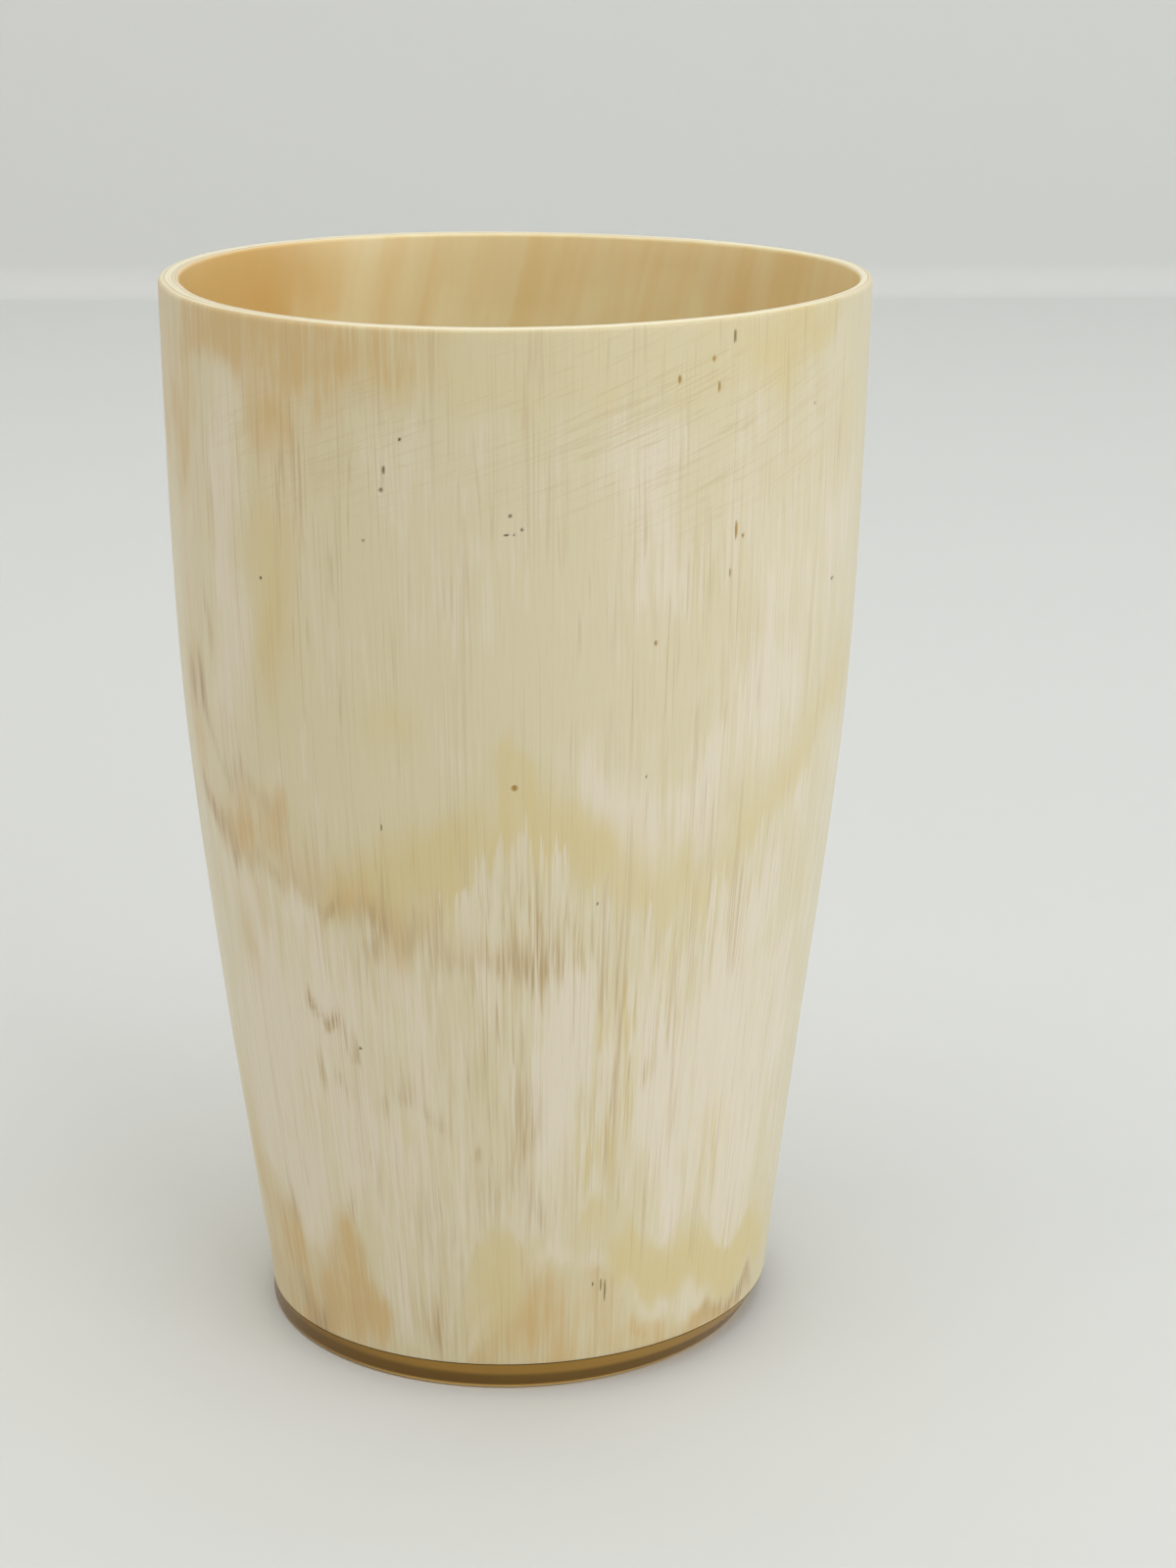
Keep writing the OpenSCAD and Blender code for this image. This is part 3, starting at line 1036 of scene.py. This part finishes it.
@dataclass(frozen=True)
class MattPaper:
    """Pale studio paper: matt, even and faintly toothed."""

    tone: str = "#DCDEDC"
    roughness: float = 0.85
    # The paper's tooth, in millimetres
    tooth: float = 1 / 0.9

    def material(self) -> bpy.types.Material:
        """Makes the paper's material."""
        made, node = empty_material("pale_studio_paper")
        here = node(COORDINATES, out=OBJECT_SPACE)
        tooth = node(NOISE, {"Vector": here, "Scale": 1 / (self.tooth * MM), "Detail": 2.0})
        bump = node(BUMP, {"Strength": 0.05, "Distance": 0.05 * MM, "Height": tooth})
        shader = node(SHADER, {
            "Base Color": linear(self.tone),
            "Roughness": self.roughness,
            "Normal": bump,
        })
        node(OUTPUT, {"Surface": shader})
        return made


@dataclass(frozen=True)
class Drift:
    """Smooth noise that is drawn out along the fibres, with waves so wide and long, in millimetres."""

    width: float
    length: float
    # An offset that gives each drift a noise of its own
    layer: float
    # How far it shifts the figure: millimetres up, or degrees round
    reach: float

    def at(self, points: np.ndarray) -> np.ndarray:
        """The noise at each point, from about -1 to 1."""
        scaled = points / (self.width, self.width, self.length) + self.layer
        return np.array([2 * noise.noise(row) for row in scaled.tolist()])


@dataclass(frozen=True)
class HornFigure:
    """The horn's natural figure, painted on the wall as numbers at its vertices."""

    shapes: tuple[Patch | Band, ...] = (*BANDS, *PATCHES)
    pits: tuple[Pit, ...] = PITS
    main_front: GrowthFront = MAIN_FRONT
    lower_front: GrowthFront = LOWER_FRONT
    foot_dome: GrowthFront = FOOT_DOME
    dome_strength: float = 0.55
    # What breaks up the shapes' edges, up the wall and round it, each broadly and finely
    wander: Drift = Drift(5, 12, 0.3, 1.6)
    feather: Drift = Drift(1.7, 14, 40.7, 1.1)
    sway: Drift = Drift(5, 9, 80.1, 1.8)
    shiver: Drift = Drift(1.5, 4, 21.5, 0.3)
    # How far the pale end grain, brightened into a painted highlight, comes over the polished outer edge
    # of the rim, and from where to where below the rim it does so, in millimetres
    worn_and_highlight: float = 0.06
    worn_from: float = 1.2
    worn_to: float = 0.3

    def paint_on(self, wall: bpy.types.Object, form: BeakerForm, points: np.ndarray,
                 layer: np.ndarray) -> None:
        """Paints the figure's numbers on the wall.

        Args:
            wall: the wall's mesh.
            form: the beaker's form.
            points: the wall's vertices as turned, before the hand work.
            layer: each vertex's place through the wall, from 0 outside to 1 inside.
        """
        true_angle, true_height = angle_of(points), points[:, 2]
        wander = self.wander.at(points)
        height = true_height + self.wander.reach * wander + self.feather.reach * self.feather.at(points)
        angle = true_angle + self.sway.reach * self.sway.at(points)
        angle += self.shiver.reach * self.shiver.at(points)
        for marking in Marking:
            marks = [shape.weight(angle, height) for shape in self.shapes if shape.marking is marking]
            marked = np.clip(sum(marks), 0.0, 1.4)
            if marking is Marking.TAN:
                dome = self.foot_dome.height(angle) - true_height
                marked = np.maximum(marked, self.dome_strength * smooth(-0.5, 1.0, dome + 0.5 * wander))
            paint(wall, marking.value, marked)
        paint(wall, "front", self.main_front.height(true_angle) - true_height - 0.8 * wander)
        paint(wall, "lower", self.lower_front.height(true_angle) - true_height - 0.6 * wander)
        outside = layer < SKIN
        for name, share in (("pore", lambda pit: pit.darkness), ("fleck", lambda pit: 1 - pit.darkness)):
            depths = [share(pit) * pit.depth(form, true_angle, true_height) for pit in self.pits]
            paint(wall, name, np.max(depths, axis=0) * outside)
        # Painted highlight and wear: the pale end grain reaches a little down the rim's outer edge
        wear_and_highlight = smooth(form.height - self.worn_from, form.height - self.worn_to, true_height)
        paint(wall, "layer", np.maximum(layer, self.worn_and_highlight * wear_and_highlight))


@dataclass
class HornWall:
    """The beaker's wall: turned, softened at the rim, then brought a little out of round by hand."""

    form: BeakerForm
    work: HandWork = HandWork()
    figure: HornFigure = HornFigure()
    finish: PaleHorn = PaleHorn()
    turn_steps: int = 320
    outer_rows: int = 150
    inner_rows: int = 44
    edge_steps: int = 5
    face_steps: int = 5
    pit_cuts: int = 4
    pit_depth: float = 0.10
    # How far round a pit the faces are cut finer
    pit_margin: float = 0.45
    # Edges sharper than this, in degrees, stay crisp
    crease: float = 40.0

    def outline(self) -> list[tuple[float, float]]:
        """The wall's section, from the seam up the outside, over the rim and down to the rebate."""
        form = self.form
        edge = form.height - form.rim_edge
        up = np.linspace(form.wall_foot, edge, self.outer_rows + 1)
        down = np.linspace(edge, form.shoulder, self.inner_rows + 1)
        outer_edge = (float(form.outer(edge)) - form.rim_edge, edge)
        inner_edge = (float(form.inner(edge)) + form.rim_edge, edge)
        face = np.linspace(outer_edge[0], inner_edge[0], self.face_steps + 1)[1:-1]
        return [
            *((float(form.outer(z)), float(z)) for z in up[:-1]),
            *arc(outer_edge, form.rim_edge, 0, 90, self.edge_steps),
            *((float(r), form.height) for r in face),
            *arc(inner_edge, form.rim_edge, 90, 180, self.edge_steps),
            *((float(form.inner(z)), float(z)) for z in down[1:]),
            (form.rebate_radius, form.shoulder),
            (form.rebate_radius, form.wall_foot),
        ]

    def layer_of(self, points: np.ndarray) -> np.ndarray:
        """Finds how deep in the wall each point lies.

        Args:
            points: the points, as turned.

        Returns:
            From 0 at the outside to 1 at the inside.
        """
        radius = np.hypot(points[:, 0], points[:, 1])
        height = points[:, 2]
        return np.clip((self.form.outer(height) - radius) / self.form.wall(height), 0.0, 1.0)

    def refine_pits(self, wall: bpy.types.Object) -> None:
        """Cuts the faces round each pit finer, so that the pit can be sunk in them.

        Args:
            wall: the wall's mesh.
        """
        centres = np.array([face.center for face in wall.data.polygons]) / MM
        angle, height = angle_of(centres), centres[:, 2]
        near = np.zeros(len(centres), bool)
        for pit in self.figure.pits:
            across, up = pit.offset(self.form, angle, height)
            beside = np.abs(across) < pit.half_width + self.pit_margin
            near |= beside & (np.abs(up) < pit.half_height + self.pit_margin)
        near &= self.layer_of(centres) < SKIN
        deselect()
        bpy.context.view_layer.objects.active = wall
        wall.select_set(True)
        pick(wall, "FACE", lambda face: bool(near[face.index]))
        bpy.ops.mesh.subdivide(number_cuts=self.pit_cuts)
        bpy.ops.object.mode_set(mode="OBJECT")

    def unroll(self, wall: bpy.types.Object, points: np.ndarray) -> None:
        """Lays the wall out flat as a UV map in millimetres, cut open at the back.

        Args:
            wall: the wall's mesh.
            points: the wall's vertices as turned.
        """
        mesh = wall.data
        corner = np.zeros(len(mesh.loops), int)
        mesh.loops.foreach_get("vertex_index", corner)
        sizes = np.zeros(len(mesh.polygons), int)
        mesh.polygons.foreach_get("loop_total", sizes)
        starts = np.concatenate(([0], np.cumsum(sizes)[:-1]))
        middle = np.add.reduceat(points[corner], starts) / sizes[:, None]
        face_angle = np.repeat(angle_of(middle), sizes)
        angle = face_angle + turn_from(face_angle, angle_of(points)[corner])
        flat = np.stack([np.radians(angle) * self.form.mean_radius, points[corner, 2]], 1)
        mesh.uv_layers.new(name="unrolled").data.foreach_set("uv", flat.astype(np.float32).ravel())

    def build(self) -> bpy.types.Object:
        """Turns the wall, sinks its pits, brings it out of round and dresses it.

        Returns:
            The finished wall.
        """
        form = self.form
        wall = spin_outline("horn_wall", self.outline(), self.turn_steps)
        self.refine_pits(wall)
        points = points_of(wall)
        layer = self.layer_of(points)
        angle, height = angle_of(points), points[:, 2]
        outside = (layer < SKIN) & (height < form.height - form.rim_edge)
        self.figure.paint_on(wall, form, points, layer)
        self.unroll(wall, points)

        unit = points[:, :2] / np.hypot(points[:, 0], points[:, 1])[:, None]
        radius = np.hypot(points[:, 0], points[:, 1])
        radius[outside] = form.outer(height[outside])
        pits = [pit.depth(form, angle, height) for pit in self.figure.pits]
        radius -= np.max(pits, axis=0) * outside * self.pit_depth
        share = (height - form.flange_height) / (form.height - form.flange_height)
        radius += self.work.stray(angle, share) + self.work.bore_stray(angle, share) * layer
        moved = np.column_stack([unit * radius[:, None], height])
        place_points(wall, self.work.settle(moved, form))

        wall.data.materials.append(self.finish.material(form))
        bpy.ops.object.shade_smooth_by_angle(angle=math.radians(self.crease))
        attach(wall, BODY)
        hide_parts("horn_body")
        return wall


@dataclass
class BaseDisc:
    """The bottom: a turned disc with a step that stands inside the wall."""

    form: BeakerForm
    work: HandWork = HandWork()
    finish: BrownHorn = BrownHorn()
    turn_steps: int = 192
    edge_steps: int = 5
    bevel_steps: int = 2
    # Rings of faces inside each flat face, as shares of the foot's radius
    rings: tuple[float, ...] = (0.1125, 0.225, 0.315)
    crease: float = 35.0

    def build(self) -> bpy.types.Object:
        """Turns the disc and dresses it.

        Returns:
            The finished disc.
        """
        form = self.form
        seam = float(form.outer(form.flange_height))
        foot = seam - self.work.undercut
        spigot = form.rebate_radius - form.glue
        deselect()
        bpy.ops.mesh.primitive_cylinder_add(
            vertices=self.turn_steps, radius=seam * MM, depth=form.flange_height * MM,
            location=(0, 0, form.flange_height / 2 * MM), end_fill_type="NGON",
        )
        disc = bpy.context.object
        disc.name = disc.data.name = "base_plate"
        bpy.ops.object.transform_apply(location=True, rotation=True, scale=True)
        bpy.ops.object.mode_set(mode="EDIT")
        self._select_faces(disc, up=1)
        bpy.ops.mesh.inset(thickness=(seam - spigot) * MM, depth=0)
        bpy.ops.mesh.extrude_region_move(
            TRANSFORM_OT_translate={"value": (0, 0, (form.disc_height - form.flange_height) * MM)})
        bpy.ops.mesh.bevel(offset=form.spigot_bevel * MM, segments=self.bevel_steps, affect="EDGES")
        self._select_faces(disc, up=-1)
        taper = foot / seam
        bpy.ops.transform.resize(value=(taper, taper, 1), center_override=(0, 0, 0))
        bpy.ops.mesh.bevel(offset=self.work.foot_round * MM, segments=self.edge_steps, affect="EDGES")
        for up in (1, -1):
            self._select_faces(disc, up=up)
            for share in self.rings:
                bpy.ops.mesh.inset(thickness=share * foot * MM, depth=0)
            bpy.ops.mesh.poke()
        bpy.ops.object.mode_set(mode="OBJECT")
        place_points(disc, self.work.settle(points_of(disc), form))
        disc.data.materials.append(self.finish.material(form))
        bpy.ops.object.shade_smooth_by_angle(angle=math.radians(self.crease))
        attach(disc, BODY)
        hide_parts("base_disc")
        return disc

    def _select_faces(self, disc: bpy.types.Object, up: int) -> None:
        """Selects the disc's top face or its bottom face, and leaves it in edit mode.

        Args:
            disc: the disc, which is active.
            up: 1 for the top, -1 for the bottom.
        """
        bpy.ops.object.mode_set(mode="OBJECT")
        level = max(up * face.center.z for face in disc.data.polygons)
        pick(disc, "FACE", lambda face: up * face.normal.z > LEVEL
             and abs(up * face.center.z - level) < 0.01 * MM)


@dataclass
class GlueLine:
    """The glue film round the step, under the wall and under the shoulder, uneven where it shows."""

    form: BeakerForm
    work: HandWork = HandWork()
    finish: CuredGlue = CuredGlue()
    turn_steps: int = 360
    unevenness: float = 0.06
    # How many ripples of each kind run round the showing edge
    ripples: tuple[int, ...] = (13, 29, 47)
    crease: float = 35.0

    def build(self) -> bpy.types.Object:
        """Turns the film, makes its showing edge uneven and dresses it.

        Returns:
            The finished film.
        """
        form = self.form
        edge = float(form.outer(form.flange_height)) - form.glue
        spigot = form.rebate_radius - form.glue
        shoulder = float(form.inner(form.shoulder))
        film = spin_outline("glue_line", [
            (spigot, form.flange_height),
            (edge, form.flange_height),
            (edge + self.unevenness / 2, form.flange_height + form.glue / 2),
            (edge, form.wall_foot),
            (form.rebate_radius, form.wall_foot),
            (form.rebate_radius, form.shoulder),
            (shoulder, form.shoulder),
            (shoulder, form.disc_height),
            (spigot - form.spigot_bevel, form.disc_height),
            (spigot, form.disc_height - form.spigot_bevel),
        ], self.turn_steps)
        points = points_of(film)
        radius = np.hypot(points[:, 0], points[:, 1])
        showing = radius > edge - form.glue
        angle = np.radians(angle_of(points))
        ripple = sum(np.sin(count * angle + start) for start, count in enumerate(self.ripples))
        stretch = np.where(showing, 1 + self.unevenness * ripple / len(self.ripples) / radius, 1.0)
        moved = points * np.column_stack([stretch, stretch, np.ones_like(stretch)])
        place_points(film, self.work.settle(moved, form))
        film.data.materials.append(self.finish.material())
        bpy.ops.object.shade_smooth_by_angle(angle=math.radians(self.crease))
        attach(film, BODY)
        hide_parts("glue_seam")
        return film


@dataclass(frozen=True)
class SoftBox:
    """A rectangular soft light, with its place, aim and size in metres and its power in watts."""

    name: str
    place: tuple[float, float, float]
    aim: tuple[float, float, float]
    size: tuple[float, float]
    power: float
    tone: str = WHITE

    def hang(self) -> None:
        """Hangs the light and turns it to what it lights."""
        box = bpy.data.lights.new(self.name, "AREA")
        box.shape = "RECTANGLE"
        box.size, box.size_y = self.size
        box.energy = self.power
        box.color = linear(self.tone)[:3]
        lamp = bpy.data.objects.new(self.name, box)
        lamp.location = self.place
        facing = Vector(self.aim) - Vector(self.place)
        lamp.rotation_euler = facing.to_track_quat("-Z", "Y").to_euler()
        bpy.context.scene.collection.objects.link(lamp)


FLOOR, MIDDLE = (0, 0, 0), (0, 0, 0.06)
SOFT_BOXES = (
    SoftBox("top_box", (0, 0, 1.3), FLOOR, (1.6, 1.4), 11.4),
    SoftBox("top_front_box", (0, -0.9, 1.1), MIDDLE, (1.4, 1.0), 2.1),
    SoftBox("right_box", (1.2, -0.2, 0.5), MIDDLE, (1.0, 1.0), 3.4),
    SoftBox("left_box", (-1.2, -0.2, 0.5), MIDDLE, (1.0, 1.0), 3.4, WARM_WHITE),
    SoftBox("right_front_box", (0.9, -1.0, 0.6), MIDDLE, (1.0, 1.0), 6.6),
    SoftBox("left_front_box", (-0.9, -1.0, 0.6), MIDDLE, (1.0, 1.0), 1.4, WARM_WHITE),
)


@dataclass
class Studio:
    """A pale paper sweep, soft light and the camera, in metres and degrees."""

    paper: MattPaper = MattPaper()
    soft_boxes: tuple[SoftBox, ...] = SOFT_BOXES
    camera_at: tuple[float, float, float] = (0.0087, -0.3283, 0.1626)
    look_down: float = 17.23
    roll: float = -0.155
    # The lens and its sensor's width, in millimetres
    lens: float = 70.05
    sensor: float = 36.0
    # The paper, and where it turns up behind the beaker
    sweep_width: float = 4.0
    sweep_length: float = 3.0
    sweep_depth: float = 0.81
    sweep_radius: float = 0.012
    sweep_steps: int = 12
    # How far it rises there, and how far it leans back
    rise: float = 2.2
    lean_back: float = 0.05
    # The room's own light
    air: str = "#F8F9FA"
    air_strength: float = 0.12

    def build_camera(self) -> None:
        """Puts the camera where it looks down on the beaker."""
        view = bpy.data.cameras.new("camera")
        view.lens = self.lens
        view.sensor_width = self.sensor
        camera = bpy.data.objects.new("camera", view)
        camera.location = self.camera_at
        camera.rotation_euler = (math.radians(90 - self.look_down), 0, 0)
        camera.rotation_euler.rotate_axis("Z", math.radians(self.roll))
        bpy.context.scene.collection.objects.link(camera)
        bpy.context.scene.camera = camera

    def build_sweep(self) -> bpy.types.Object:
        """Lays the paper and turns it up behind the beaker.

        Returns:
            The paper.
        """
        deselect()
        bpy.ops.mesh.primitive_plane_add(size=1)
        sweep = bpy.context.object
        sweep.name = "paper_sweep"
        sweep.scale = (self.sweep_width, self.sweep_length, 1)
        sweep.location = (0, self.sweep_depth - self.sweep_length / 2, 0)
        bpy.ops.object.transform_apply(location=True, scale=True)
        places = sweep.data.vertices

        def at_turn(edge: bpy.types.MeshEdge) -> bool:
            """Whether an edge lies on the floor where the paper turns up."""
            ends = [places[v].co for v in edge.vertices]
            return all(abs(co.y - self.sweep_depth) < MM and co.z < MM for co in ends)

        pick(sweep, "EDGE", at_turn)
        bpy.ops.mesh.extrude_region_move(
            TRANSFORM_OT_translate={"value": (0, self.lean_back, self.rise)})
        bpy.ops.object.mode_set(mode="OBJECT")
        pick(sweep, "EDGE", at_turn)
        bpy.ops.mesh.bevel(offset=self.sweep_radius, segments=self.sweep_steps, affect="EDGES")
        bpy.ops.object.mode_set(mode="OBJECT")
        bpy.ops.object.shade_smooth()
        sweep.data.materials.append(self.paper.material())
        return sweep

    def build_air(self) -> None:
        """Fills the room with even, pale light."""
        world = bpy.data.worlds.new("soft_room")
        world.use_nodes = True
        background = world.node_tree.nodes["Background"]
        background.inputs["Color"].default_value = linear(self.air)
        background.inputs["Strength"].default_value = self.air_strength
        bpy.context.scene.world = world

    def build(self) -> None:
        """Sets the whole studio up."""
        self.build_camera()
        self.build_sweep()
        self.build_air()
        for box in self.soft_boxes:
            box.hang()
        scene = bpy.context.scene
        scene.view_settings.view_transform = "Standard"
        scene.view_settings.look = "None"


def main() -> None:
    """Builds the studio and the beaker's three pieces."""
    logging.basicConfig(level=logging.INFO, format="%(name)s: %(message)s")
    Studio().build()
    form = BeakerForm.from_frame()
    for part in (HornWall(form), BaseDisc(form), GlueLine(form)):
        piece = part.build()
        LOG.info("%s: %d faces", piece.name, len(piece.data.polygons))


if __name__ == "__main__":
    main()
